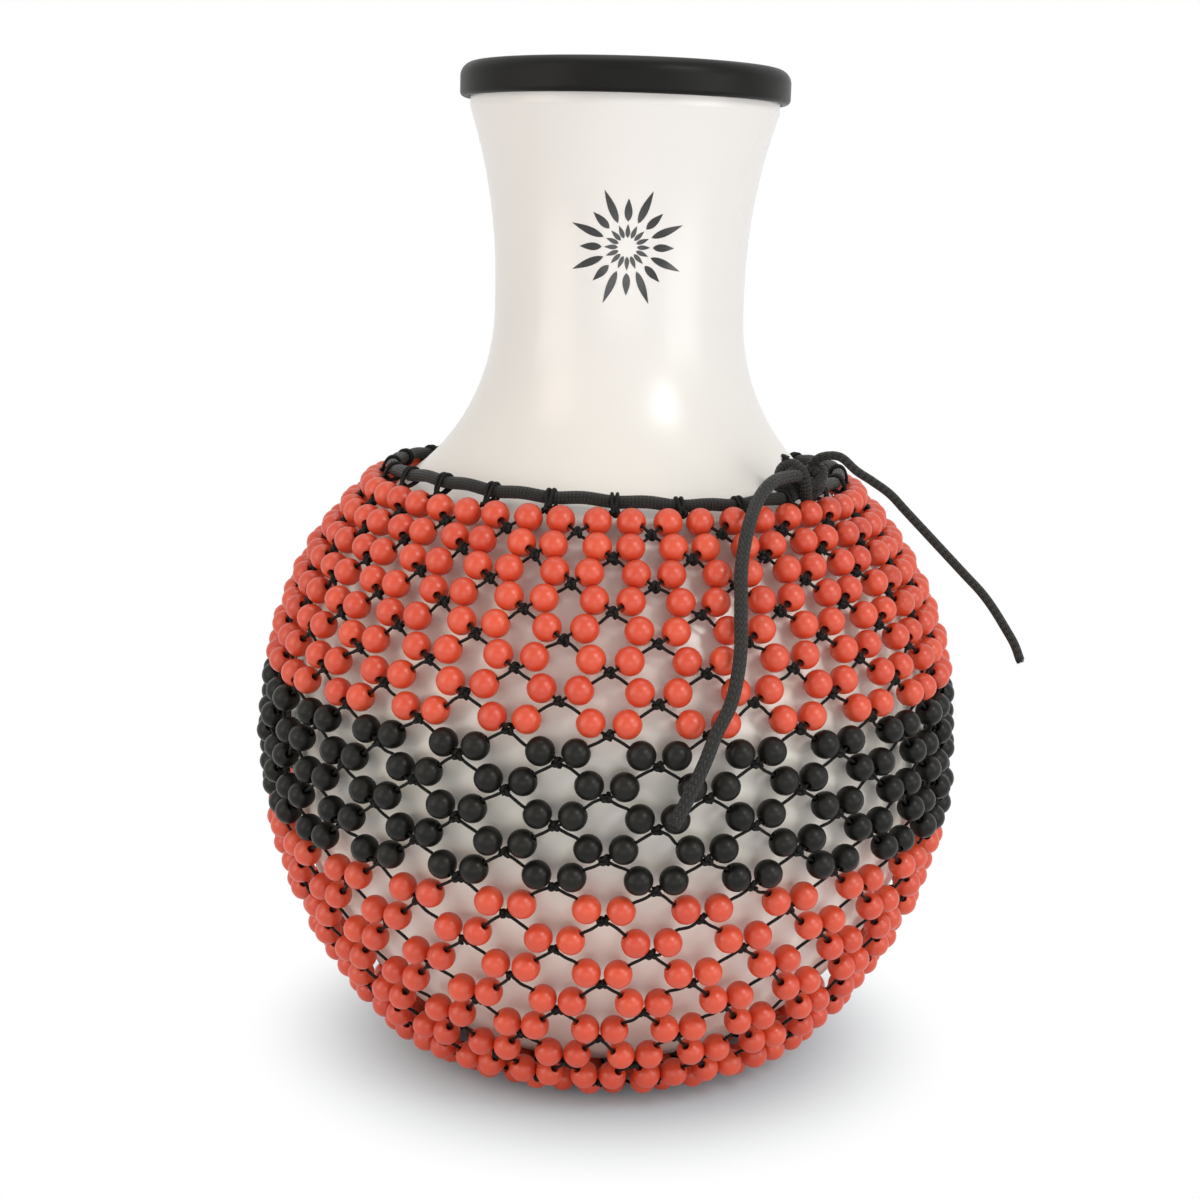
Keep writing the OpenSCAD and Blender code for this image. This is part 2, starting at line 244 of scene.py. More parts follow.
class Nodes:
    """A few words for building a node tree."""

    def __init__(self, tree):
        self.tree = tree

    def add(self, kind, **settings):
        node = self.tree.nodes.new("ShaderNode" + kind)
        inputs = settings.pop("inputs", {})
        for name, value in settings.items():
            setattr(node, name, value)
        for name, value in inputs.items():
            self.feed(node.inputs[name], value)
        return node

    def feed(self, socket, value):
        if isinstance(value, bpy.types.NodeSocket):
            self.tree.links.new(value, socket)
        else:
            socket.default_value = value

    def math(self, operation, *values):
        node = self.add("Math", operation=operation)
        for socket, value in zip(node.inputs, values):
            self.feed(socket, value)
        return node.outputs[0]

    def mix(self, share, one, other):
        node = self.add("Mix", data_type="RGBA")
        for index, value in ((0, share), (6, one), (7, other)):
            self.feed(node.inputs[index], value)
        return node.outputs[2]

    def stretch(self, value, low, high, to_low=0.0, to_high=1.0):
        node = self.add("MapRange")
        for index, number in enumerate((value, low, high, to_low, to_high)):
            self.feed(node.inputs[index], number)
        return node.outputs[0]


def new_group(name, inputs, outputs):
    """A node group for numbers, as (tree, nodes, source, sink)."""
    tree = bpy.data.node_groups.new(name, "ShaderNodeTree")
    for socket, value in inputs.items():
        made = tree.interface.new_socket(socket, in_out="INPUT", socket_type="NodeSocketFloat")
        made.default_value = value
    for socket in outputs:
        tree.interface.new_socket(socket, in_out="OUTPUT", socket_type="NodeSocketFloat")
    return tree, Nodes(tree), tree.nodes.new("NodeGroupInput"), tree.nodes.new("NodeGroupOutput")


def make_fine_wear():
    """Slow cloudy change, fine grain and a height from both, in object space."""
    tree, n, source, sink = new_group(
        "fine_wear",
        {"Cloud Scale": 30.0, "Grain Scale": 900.0, "Grain Share": 0.3},
        ("Cloud", "Grain", "Height"),
    )
    place = n.add("TexCoord").outputs["Object"]
    cloud, grain = (
        n.add("TexNoise", inputs={"Vector": place, "Scale": source.outputs[scale], "Detail": fine})
        for scale, fine in (("Cloud Scale", 2.0), ("Grain Scale", 3.0))
    )
    fine_height = n.math("MULTIPLY", grain.outputs[0], source.outputs["Grain Share"])
    n.feed(sink.inputs["Cloud"], cloud.outputs[0])
    n.feed(sink.inputs["Grain"], grain.outputs[0])
    n.feed(sink.inputs["Height"], n.math("ADD", cloud.outputs[0], fine_height))
    return tree


def cord_ways(n, count, lay):
    """The way round a cord times a count, and the way along it over a lay, from its chart."""
    chart = n.add("UVMap", uv_map="way").outputs[0]
    part = n.add("SeparateXYZ", inputs={"Vector": chart})
    return n.math("MULTIPLY", part.outputs[0], count), n.math("DIVIDE", part.outputs[1], lay)


def half_wave(n, value):
    """A bulge over each whole step of a value."""
    return n.math("SINE", n.math("MULTIPLY", n.math("FRACT", value), math.pi))


def make_braid():
    """Two sets of strands that cross over and under round a cord."""
    tree, n, source, sink = new_group("braid", {"Strands": 12.0, "Lay": 1.8}, ("Height", "Over"))
    round_way, along = cord_ways(n, source.outputs["Strands"], source.outputs["Lay"])
    one, other = n.math("ADD", round_way, along), n.math("SUBTRACT", round_way, along)
    steps = n.math("ADD", n.math("FLOOR", one), n.math("FLOOR", other))
    over = n.math("ABSOLUTE", n.math("MODULO", steps, 2.0))
    under = n.math("SUBTRACT", 1.0, over)
    upper = n.math("MULTIPLY", half_wave(n, one), over)
    lower = n.math("MULTIPLY", half_wave(n, other), under)
    n.feed(sink.inputs["Height"], n.math("ADD", upper, lower))
    n.feed(sink.inputs["Over"], over)
    return tree


def make_twist():
    """The slanting grooves of a twisted string."""
    tree, n, source, sink = new_group("twist", {"Plies": 3.0, "Lay": 3.2}, ("Height",))
    round_way, along = cord_ways(n, source.outputs["Plies"], source.outputs["Lay"])
    slant = n.math("MULTIPLY", along, source.outputs["Plies"])
    n.feed(sink.inputs["Height"], half_wave(n, n.math("ADD", round_way, slant)))
    return tree


def new_material(name, **values):
    """A material with plain values on its shader's sockets, as (material, nodes, shader)."""
    material = bpy.data.materials.new(name)
    material.use_nodes = True
    shader = material.node_tree.nodes["Principled BSDF"]
    for socket, value in values.items():
        shader.inputs[socket.replace("_", " ")].default_value = value
    return material, Nodes(material.node_tree), shader


def place_group(n, tree, **values):
    group = n.add("Group", node_tree=tree)
    for name, value in values.items():
        n.feed(group.inputs[name.replace("_", " ")], value)
    return group.outputs


def set_colour(n, shader, share, pair):
    n.feed(shader.inputs["Base Color"], n.mix(share, *pair))


def set_rough(n, shader, noise, low, high):
    """Roughness that follows the middle stretch of a noise."""
    n.feed(shader.inputs["Roughness"], n.stretch(noise, *NOISE_SPAN, low, high))


def set_bump(n, shader, height, distance, strength):
    node = n.add("Bump", inputs={"Height": height, "Distance": distance, "Strength": strength})
    n.feed(shader.inputs["Normal"], node.outputs[0])


fine_wear, braid, twist = make_fine_wear(), make_braid(), make_twist()


def bead_plastic(name, colours, rough, gloss):
    """Moulded plastic with a slight change of shade from bead to bead and a satin skin."""
    material, n, shader = new_material(name, Specular_IOR_Level=gloss)
    wear = place_group(n, fine_wear, Cloud_Scale=160.0, Grain_Scale=2600.0, Grain_Share=0.15)
    tone = n.add("Attribute", attribute_name="tone").outputs["Fac"]
    cloudy = n.math("MULTIPLY", n.math("SUBTRACT", wear["Cloud"], 0.5), CLOUD_SHARE)
    set_colour(n, shader, n.math("ADD", tone, cloudy), colours)
    set_rough(n, shader, wear["Grain"], rough - ROUGH_LESS, rough + ROUGH_MORE)
    set_bump(n, shader, wear["Height"], distance=0.04 * MM, strength=0.5)
    return material


def string_fibre():
    material, n, shader = new_material("net_string", Specular_IOR_Level=0.16, Roughness=0.6)
    high = place_group(n, twist)["Height"]
    # Painted shade: the string's colour turns darker down in the grooves of its twist
    set_colour(n, shader, high, STRING_SHADED_IN_GROOVES)
    set_bump(n, shader, high, distance=0.2 * MM, strength=0.7)
    return material


def braided_cord(name, strands, lay):
    """A braid with painted shade in its grooves, a fibrous sheen and a little dust."""
    material, n, shader = new_material(
        name, Specular_IOR_Level=0.3, Sheen_Weight=0.06, Sheen_Roughness=0.4
    )
    weave = place_group(n, braid, Strands=strands, Lay=lay)
    wear = place_group(n, fine_wear, Cloud_Scale=60.0, Grain_Scale=2500.0, Grain_Share=0.5)
    # Painted shade: the colour turns nearly black down in the grooves between the strands
    out_of_groove = n.stretch(weave["Height"], 0.3, 1.0)
    clear = n.mix(out_of_groove, GROOVE_PAINTED_SHADE, n.mix(weave["Over"], *THREAD))
    set_colour(n, shader, n.math("MULTIPLY", wear["Cloud"], DUST_SHARE), (clear, DUST))
    set_rough(n, shader, wear["Grain"], 0.42, 0.6)
    set_bump(n, shader, weave["Height"], distance=0.5 * MM, strength=0.8)
    return material


def shell_gelcoat():
    """Glossy moulded skin with the faintest waviness; its colour is painted lighter and warmer low
    down against the shade among the beads, and darker up the neck against its stronger light.
    """
    material, n, shader = new_material(
        "shell_gelcoat", Specular_IOR_Level=0.5, Coat_Weight=0.2, Coat_Roughness=0.2
    )
    wear = place_group(n, fine_wear, Cloud_Scale=14.0, Grain_Scale=700.0, Grain_Share=0.05)
    place = n.add("TexCoord").outputs["Object"]
    high = n.add("SeparateXYZ", inputs={"Vector": place}).outputs[2]
    # Painted light and shade: lighter low down among the beads, darker up the neck
    ends = [n.mix(wear["Cloud"], *pair) for pair in (LOW_SHELL_PAINTED_LIGHTER, HIGH_SHELL_PAINTED_DARKER)]
    set_colour(n, shader, n.stretch(high, PAINTED_LIGHTER_BELOW, PAINTED_DARKER_ABOVE), ends)
    set_rough(n, shader, wear["Cloud"], 0.26, 0.34)
    set_bump(n, shader, wear["Height"], distance=0.6 * MM, strength=0.12)
    return material


def rim_rubber():
    material, n, shader = new_material("rim_rubber", Specular_IOR_Level=0.12)
    wear = place_group(n, fine_wear, Cloud_Scale=40.0, Grain_Scale=1800.0, Grain_Share=0.6)
    set_colour(n, shader, wear["Cloud"], RUBBER)
    set_rough(n, shader, wear["Cloud"], 0.34, 0.46)
    set_bump(n, shader, wear["Height"], distance=0.15 * MM, strength=0.5)
    return material


def ornament_ink():
    material, n, shader = new_material(
        "ornament_ink", Specular_IOR_Level=0.5, Coat_Weight=0.2, Coat_Roughness=0.1
    )
    wear = place_group(n, fine_wear, Cloud_Scale=90.0, Grain_Scale=1500.0, Grain_Share=0.3)
    set_colour(n, shader, wear["Cloud"], INK)
    set_rough(n, shader, wear["Grain"], 0.18, 0.3)
    return material


orange = bead_plastic("bead_orange", ORANGE, rough=0.35, gloss=0.6)
black = bead_plastic("bead_black", BLACK, rough=0.36, gloss=0.2)
string = string_fibre()
cord = braided_cord("braided_cord", strands=14.0, lay=1.15)
tail_cord = braided_cord("braided_tail", strands=10.0, lay=2.1)
gelcoat = shell_gelcoat()
rubber = rim_rubber()
ink = ornament_ink()


# The camera, at the photograph's angle: its place in metres, and its turns in degrees

CAMERA_PLACE = (-0.0038, -0.6993, 0.2954)
CAMERA_DOWN = 11
CAMERA_LEAN = 1.61

camera = add_object("camera", bpy.data.cameras.new("camera"))
camera.data.sensor_width = 36
camera.data.lens = 60
camera.data.clip_start = 0.01
camera.matrix_world = (
    Matrix.Translation(CAMERA_PLACE)
    @ Matrix.Rotation(math.radians(90 - CAMERA_DOWN), 4, "X")
    @ Matrix.Rotation(math.radians(CAMERA_LEAN), 4, "Z")
)
bpy.context.scene.camera = camera


# The drawstring's two tails, in millimetres from the knot to the cut end

TAIL_FRONT = [
    (61, -51, 212), (58, -57, 213), (53, -64, 213), (49, -71, 212), (45, -78, 208),
    (42, -86, 202), (40, -93, 195), (39, -99, 188), (39, -103, 181), (39, -107, 174),
    (39, -111, 167), (38, -115, 159), (36, -118, 151), (32, -121, 143), (29, -123, 135),
    (25, -125, 126), (20, -127, 116),
]
TAIL_SIDE = [
    (63, -47, 213), (65, -49, 217), (68, -51, 219), (73, -53, 219), (78, -55, 215),
    (83, -56, 212), (89, -57, 208), (94, -59, 203), (99, -61, 198), (104, -62, 193),
    (109, -63, 188), (114, -64, 183), (119, -65, 178), (123, -66, 173), (127, -67, 167),
    (130, -69, 162), (132, -70, 157),
]
TAIL_STEPS = 6
TAIL_FRAY = {"reach": 1.0 * MM, "spread": 1.03, "count": 70}

# How far out and how deep the threads of a cut end start, how much they wander,
# and how long and thick they are, as shares
FRAY_OUT = 0.85
FRAY_DEEP = 0.8 * MM
FRAY_WANDER = 0.12 * MM
FRAY_LONG = (0.5, 1.0)
FRAY_TAPER = (1.0, 0.5)
FRAY_STEPS = 3
ODD_WAY = [0.3, 0.5, 0.8]


def frayed_end(name, place, way, thick, reach, spread, count):
    """A tuft of loose threads at a cut end."""
    x = unit(np.cross(way, ODD_WAY))
    y = np.cross(way, x)
    angle = rng.uniform(0, FULL_TURN, count)[:, None]
    far = (np.sqrt(rng.uniform(0, 1, count)) * thick * FRAY_OUT)[:, None]
    off = np.cos(angle) * x + np.sin(angle) * y
    start = place + far * off - FRAY_DEEP * way
    long = rng.uniform(*FRAY_LONG, count)[:, None] * reach
    end = place + (far * spread) * off + long * way
    middle = (start + end) / 2 + rng.normal(0, FRAY_WANDER, (count, 3))
    paths = smooth_through(np.stack([start, middle, end], axis=1), FRAY_STEPS)
    radius = THREAD_R * np.linspace(*FRAY_TAPER, paths.shape[1])[None]
    return add_tubes(name, tubes(paths, radius, THREAD_SIDES), tail_cord, "drawstring")


def add_tail(name, route, thick):
    path = smooth_through(np.array(route) * MM, TAIL_STEPS)
    shape = tubes(path[None], thick, CORD_SIDES)
    piece = add_tubes(name + "_cord", shape, tail_cord, "drawstring", stands_for=[name])
    end = frayed_end(name + "_end", path[-1], unit(path[-1] - path[-2]), thick, **TAIL_FRAY)


add_tail("tail_front", TAIL_FRONT, CORD_R)
add_tail("tail_side", TAIL_SIDE, THIN_R)


# Where the frame's beads and knots are

# How near corners are one corner, in metres; how near a knot's corners are to its ball,
# in millimetres and ever nearer; and the least share of a solid's corners that a ball has
SAME_PLACE = 1e-6
KNOT_SLACKS = (1.6, 0.8, 0.4, 0.2, 0.1, 0.05)
BALL_SHARE = 1 / 3


def solids_of(name):
    """The corners of each separate solid of a node."""
    mesh = nodes[name].data
    corners = np.empty(3 * len(mesh.vertices))
    mesh.vertices.foreach_get("co", corners)
    corners = corners.reshape(-1, 3)
    spots = np.round(corners / SAME_PLACE).astype(np.int64)
    same = np.unique(spots, axis=0, return_inverse=True)[1].ravel()
    edges = np.empty(2 * len(mesh.edges), np.int32)
    mesh.edges.foreach_get("vertices", edges)
    a, b = same[edges.reshape(-1, 2)].T
    label = np.arange(same.max() + 1)
    while True:
        low = np.minimum(label[a], label[b])
        new = label.copy()
        np.minimum.at(new, a, low)
        np.minimum.at(new, b, low)
        new = new[new]
        if (new == label).all():
            break
        label = new
    return [corners[label[same] == k] for k in np.unique(label[same])]


def ball_middle(points):
    """The middle of the ball that the points lie on."""
    fit = np.c_[2 * points, np.ones(len(points))]
    return np.linalg.lstsq(fit, (points**2).sum(axis=1), rcond=None)[0][:3]


def knot_middle(points):
    """The middle of the ball in a solid that holds one knot, or None if it holds no knot."""
    middle = np.median(points, axis=0)
    for slack in KNOT_SLACKS:
        off = np.abs(np.linalg.norm(points - middle, axis=1) - KNOT_R)
        near = points[off < slack * MM]
        if len(near) < len(points) * BALL_SHARE:
            return None
        middle = ball_middle(near)
    return middle


def round_share(place, row):
    """How far round the net a place lies, counted in knots of its row."""
    return math.degrees(math.atan2(place[1], place[0])) * ROUND / 360 - (row % 2) / 2


def read_knots(name, row):
    """The middle of each knot of a row, in order round the net."""
    found = np.zeros((ROUND, 3))
    for points in solids_of(name):
        place = knot_middle(points)
        if place is not None:
            found[round(round_share(place, row)) % ROUND] = place
    return found


def read_beads(name, row):
    """The middle of the bead on each knot's left and right string, where there is one."""
    found = np.full((ROUND, 2, 3), np.nan)
    for points in solids_of(name):
        place = ball_middle(points)
        share = round_share(place, row)
        found[round(share) % ROUND, int(share > round(share))] = place
    return found


def upper_knot(row, i, side):
    """Which knot of the row above a knot's left or right string comes from."""
    return (i + side - 1 + row % 2) % ROUND


beads = {row: read_beads(f"bead_row_{row:02d}", row) for row in range(1, BEAD_ROWS + 1)}
knots = {row: read_knots(f"net_row_{row:02d}", row) for row in range(1, BEAD_ROWS)}
knots[0] = read_knots("collar_hitches", 0)
knots[BEAD_ROWS] = read_knots("base_hitches", BEAD_ROWS)


# Beads

# The points of a bead's round side, and how its bore opens at both mouths
BEAD_STEPS = 11
MOUTH_WIDER = 0.42 * MM
LIP_WIDER, LIP_ABOVE = 0.16 * MM, 0.01 * MM
BORE_BELOW = 0.22 * MM

# How much beads differ, as shares of their size, in shade, and in how they lean on their string
SIZE_SPREAD = 0.01
FLAT_SPREAD = 0.02
TONE, TONE_SPREAD = 0.55, 0.2
LEAN_OUT, LEAN_SPREAD = -0.10, 0.10
LOW_ROWS_SIZE = 0.97


def bead_profile():
    """Half of a bead's outline: round outside, a straight bore and softened mouths."""
    start = math.asin((BORE_R + MOUTH_WIDER) / BEAD_R)
    angles = np.linspace(math.pi - start, start, BEAD_STEPS)
    round_side = [(BEAD_R * math.sin(a), BEAD_R * math.cos(a)) for a in angles]
    top = BEAD_R * math.cos(start)
    lip = [(BORE_R + LIP_WIDER, top + LIP_ABOVE), (BORE_R, top - BORE_BELOW)]
    foot = [(r, -z) for r, z in reversed(lip)]
    return foot + round_side + lip


def bead_mesh(places, ways, full):
    """Beads at these places, bored along these ways, with small differences between them."""
    shape, faces = lathe(bead_profile(), BEAD_SIDES)
    count = len(places)
    spin = rng.uniform(0, FULL_TURN, count)[:, None]
    size = full * (1 + rng.uniform(-SIZE_SPREAD, SIZE_SPREAD, (count, 1, 1)))
    flat = 1 + rng.uniform(-FLAT_SPREAD, 0.0, (count, 1))
    local = shape * size
    local[:, :, 2] *= flat
    x = unit(np.cross(unit(places - BELLY_MIDDLE), ways))
    y = np.cross(ways, x)
    spun_x = np.cos(spin) * x + np.sin(spin) * y
    spun_y = np.cos(spin) * y - np.sin(spin) * x
    turned = np.einsum("bij,bjk->bik", local, np.stack([spun_x, spun_y, ways], axis=1))
    corners = (turned + places[:, None, :]).reshape(-1, 3)
    all_faces = (faces + np.arange(count)[:, None, None] * len(shape)).reshape(-1, 4)
    tone = np.repeat(np.clip(rng.normal(TONE, TONE_SPREAD, count), 0, 1), len(shape))
    return corners, all_faces.tolist(), tone


bead_ways = {}
for row in beads:
    above = [[upper_knot(row, i, side) for side in (0, 1)] for i in range(ROUND)]
    high = knots[row - 1][above]
    low = np.repeat(knots[row][:, None], 2, axis=1)
    way = unit(high - low)
    threaded = ~np.isnan(beads[row][:, :, 0])
    beads[row] = np.where(threaded[:, :, None], beads[row], (high + low) / 2)
    out = unit(beads[row] - BELLY_MIDDLE)
    lean = rng.normal(LEAN_OUT, LEAN_SPREAD, (ROUND, 2, 1)) * out
    lean = lean + rng.normal(0, LEAN_SPREAD, (ROUND, 2, 1)) * np.cross(out, way)
    bead_ways[row] = unit(way + lean)
    full = 1.0 if row < BEAD_ROWS - 1 else LOW_ROWS_SIZE
    corners, faces, tone = bead_mesh(beads[row][threaded], bead_ways[row][threaded], full)
    dark = row in DARK_ROWS
    add_piece(
        f"beads_{row:02d}", corners, faces, black if dark else orange, tone=tone,
        slot="bead_black" if dark else "bead_orange", stands_for=[f"bead_row_{row:02d}"],
    )


# Strings and knots

# The least and the greatest size of a knot, in millimetres
TIE_SIZES = (1.35, 1.65)
COLLAR_TIE_SIZES = (1.3, 1.55)
CLOSING_TIE_SIZES = (1.15, 1.35)

# A knot's turns: points, the gap between its ends, and its depth and thickness
TIE_POINTS = 30
TIE_OPEN = 0.35
TIE_DEEP = 1.6
TIE_THICK = 1.3
TIE_ACROSS = [0.3, 0.2, 1.0]

# Where a string meets its bead, and how far it swings before it, as shares
HOLE = 0.95
SWING_ASIDE = 0.04
SWING_OUT = (-0.03, 0.07)
STRING_STEPS = 4


def hand_knot(place, out, size):
    """The path of an overhand knot's turns, seen from outside."""
    t = np.linspace(TIE_OPEN, FULL_TURN - TIE_OPEN, TIE_POINTS) + rng.uniform(0, FULL_TURN)
    sideways = np.sin(t) + 2 * np.sin(2 * t)
    upwards = np.cos(t) - 2 * np.cos(2 * t)
    turns = np.stack([sideways, upwards, -TIE_DEEP * np.sin(3 * t)], axis=1) / 3
    across = unit(np.cross(out, TIE_ACROSS))
    over = np.cross(out, across)
    return place + size * (turns[:, :1] * across + turns[:, 1:2] * over + turns[:, 2:] * out)


def knot_tubes(row, sizes):
    """The string knots of a row."""
    sizes = rng.uniform(*sizes, ROUND) * MM
    paths = [hand_knot(p, unit(p - BELLY_MIDDLE), s) for p, s in zip(knots[row], sizes)]
    return tubes(np.array(paths), STRING_R * TIE_THICK, STRING_SIDES)


def string_tubes(row):
    """The strings from a row's knots down through their beads to the next row's knots."""
    paths = []
    for i in range(ROUND):
        for side in (0, 1):
            high, low = knots[row][upper_knot(row + 1, i, side)], knots[row + 1][i]
            bead, way = beads[row + 1][i, side], bead_ways[row + 1][i, side]
            out = unit(bead - BELLY_MIDDLE)
            top, foot = bead + HOLE * BEAD_R * way, bead - HOLE * BEAD_R * way
            swing = np.cross(out, unit(high - low)) * rng.normal(0, SWING_ASIDE)
            swing = swing + out * rng.uniform(*SWING_OUT)
            slack = np.linalg.norm(high - top)
            paths.append([high, (high + top) / 2 + slack * swing, top, bead, foot, low])
    return tubes(smooth_through(np.array(paths), STRING_STEPS), STRING_R, STRING_SIDES)


for row in range(1, BEAD_ROWS):
    shape = joined([string_tubes(row), knot_tubes(row, TIE_SIZES)])
    add_tubes(f"net_{row:02d}", shape, string, "net_string", stands_for=[f"net_row_{row:02d}"])


# The drawstring round the shoulder, its knot and the hitches on it

# The drawstring's unevenness, as (millimetres, waves round the shoulder, start)
LIFT = 0.35
DRIFT = [(0.8, 2, 0.6), (0.6, 3, 2.0), (0.35, 7, 0.0)]
WIDE = [(0.5, 2, 2.4), (0.4, 5, 1.0)]
AHEAD = 0.02

# A hitch's wraps: points, and as shares of the string how they part, meet, slant and drop
WRAP_POINTS = 22
WRAP_TURN = 0.2
WRAP_APART, WRAP_MEET, WRAP_SLANT, WRAP_DROP = 0.74, 0.35, 0.35, 0.85
COLLAR_WRAP = 1.1


def waves(angle, table):
    """A sum of waves round the shoulder, in millimetres."""
    return sum(size * np.sin(count * angle + start) for size, count, start in table)


def collar_point(angle):
    """The drawstring's middle line: lifted between the hitches, and never quite even."""
    up = LIFT * np.cos(ROUND * angle + np.pi) + waves(angle, DRIFT)
    return about_axis(COLLAR_R + waves(angle, WIDE) * MM, angle, COLLAR_Z + up * MM)


def hitch_wraps(middle, along, knot, reach, thick):
    """Two wraps of string round a cord, side by side, drawn down to their knot."""
    down = unit(knot - middle)
    down = unit(down - np.dot(down, along) * along)
    side_way = np.cross(along, down)
    paths = []
    for side in (-1, 1):
        turn = np.linspace(0, FULL_TURN, WRAP_POINTS, endpoint=False)[:, None]
        turn = turn + rng.uniform(-WRAP_TURN, WRAP_TURN)
        drop = np.clip(np.cos(turn), 0, 1) ** 3
        shift = side * (WRAP_APART - WRAP_MEET * drop) * 2 * thick
        shift = shift + WRAP_SLANT * thick * np.sin(turn)
        ring = middle + reach * (np.cos(turn) * down + np.sin(turn) * side_way)
        paths.append(ring + shift * along + drop * (knot - middle - reach * down) * WRAP_DROP)
    return tubes(np.array(paths), thick, HITCH_SIDES, closed=True)


def hitches(row, places, ways, reach, thick):
    """The wraps that tie a row's knots to a cord, at these places and ways of the cord."""
    return [hitch_wraps(p, w, k, reach, thick) for p, w, k in zip(places, ways, knots[row])]


around = np.linspace(0, FULL_TURN, LOOP_POINTS, endpoint=False)
knot_angles = FULL_TURN * np.arange(ROUND) / ROUND

shape = tubes(collar_point(around)[None], CORD_R, CORD_SIDES, closed=True)
add_tubes("drawstring_loop", shape, cord, "drawstring", stands_for=["drawstring_collar"])

parts = [string_tubes(0), knot_tubes(0, COLLAR_TIE_SIZES)]
here, ahead = collar_point(knot_angles), collar_point(knot_angles + AHEAD)
parts += hitches(0, here, unit(ahead - here), CORD_R + STRING_R, STRING_R * COLLAR_WRAP)
add_tubes("drawstring_hitches", joined(parts), string, "net_string", stands_for=["collar_hitches"])

# The turns of the knot in millimetres: to the right, up, and towards the viewer
KNOT_PLACE = [60.6, -48.4, 211.1]
KNOT_TURNS = [
    [
        (-2.5, -6.0, 2.0), (-5.6, -3.6, 3.4), (-7.0, 0.0, 3.6), (-6.0, 3.6, 3.2),
        (-3.0, 4.9, 3.6), (-0.4, 3.2, 5.0), (1.0, 0.4, 5.8), (1.6, -2.6, 5.2),
        (1.8, -5.4, 3.6), (2.8, -8.0, 1.8), (3.4, -9.6, 0.0),
    ],
    [
        (5.0, -6.0, -2.0), (1.0, -4.6, 1.0), (-3.2, -3.0, 2.6), (-4.6, 0.2, 4.2),
        (-3.4, 2.4, 5.2), (-0.6, 1.4, 4.4), (2.0, -0.8, 3.4), (4.6, -1.2, 3.6),
        (6.4, 0.4, 2.6), (6.8, 2.6, 0.4), (5.4, 3.4, -2.0), (3.0, 1.8, -3.2),
        (0.0, 0.0, -3.0),
    ],
    [
        (1.2, 2.0, -2.0), (4.2, 2.6, 0.6), (6.3, 0.6, 1.2), (6.2, -2.4, 0.6),
        (4.6, -4.2, 1.4), (2.0, -4.2, 1.6),
    ],
    [
        (-7.8, -2.8, -1.0), (-5.0, -1.6, 0.8), (-2.2, -1.2, 1.6), (0.8, -2.4, 2.0),
        (3.4, -4.2, 0.4),
    ],
]
KNOT_STUB = [(-2.6, 3.4, 2.0), (-4.2, 5.4, 2.2), (-5.6, 6.9, 2.2)]
KNOT_STEPS, STUB_STEPS = 7, 5
KNOT_TIGHT = 0.97
STUB_TAPER = 0.9, 0.42
STUB_FRAY = {"reach": 1.6 * MM, "spread": 0.25, "count": 60}


def knot_path(points, steps):
    """A smooth path through points that are given from the knot's middle."""
    right, up, near = np.asarray(points).T
    return smooth_through((KNOT_PLACE + np.stack([right, -near, up], axis=-1)) * MM, steps)


parts = []
for turns in KNOT_TURNS:
    path = knot_path(turns, KNOT_STEPS)
    parts.append(tubes(path[None], CORD_R * KNOT_TIGHT, CORD_SIDES))
stub = knot_path(KNOT_STUB, STUB_STEPS)
parts.append(tubes(stub[None], CORD_R * np.linspace(*STUB_TAPER, len(stub))[None], CORD_SIDES))
add_tubes("drawstring_knot", joined(parts), cord, "drawstring", stands_for=["collar_knot"])
frayed_end("knot_fray", stub[-1], unit(stub[-1] - stub[-2]), CORD_R, **STUB_FRAY)


# The closing cord under the belly, a little wavy, and the hitches on it

RING_WAVE, RING_WAVES = 0.25 * MM, 5

ring_low, ring_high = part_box("base_ring")
ring_z = (ring_low[2] + ring_high[2]) / 2
ring_r = ring_high[0] - CLOSING_R
path = about_axis(ring_r, around, ring_z + RING_WAVE * np.sin(RING_WAVES * around))
shape = tubes(path[None], CLOSING_R, CLOSING_SIDES, closed=True)
add_tubes(
    "closing_cord", shape, string, "net_string", body="base_ring", stands_for=["base_ring"]
)

parts = [knot_tubes(BEAD_ROWS, CLOSING_TIE_SIZES)]
here = about_axis(ring_r, knot_angles, ring_z)
along = about_axis(1.0, knot_angles + np.pi / 2, 0.0)
parts += hitches(BEAD_ROWS, here, along, CLOSING_R + STRING_R, STRING_R)
add_tubes("closing_hitches", joined(parts), string, "net_string", stands_for=["base_hitches"])


# The shell and its rim keep their solids and get their finish

for name, material in (("shell", gelcoat), ("rim_trim", rubber)):
    for slot in nodes[name].material_slots:
        slot.material = material


# A plain printed ornament on the neck: rays round a ring of lozenges, in millimetres

FLARE_Z, FLARE_R, NECK_R = 270.32, 185.0, 43.0
ORNAMENT_Z, ORNAMENT_AT = 284.0, math.radians(-87.6)
INK_LIFT = 0.08
RAYS = 16

# Each leaf's near and far end and half its width
LONG_RAY, SHORT_RAY, LOZENGE = (8.2, 19.5, 1.25), (8.2, 15.5, 1.25), (3.0, 7.4, 0.75)
LEAF_STEPS = 10
LEAF_FULLNESS = 0.75


def on_neck(x, z):
    """A point of the neck's skin, x round it from the ornament's middle and z above it."""
    up = ORNAMENT_Z + z
    flare = FLARE_R - np.sqrt(FLARE_R**2 - np.maximum(up - FLARE_Z, 0) ** 2)
    return about_axis(NECK_R + flare + INK_LIFT, ORNAMENT_AT + x / NECK_R, up) * MM


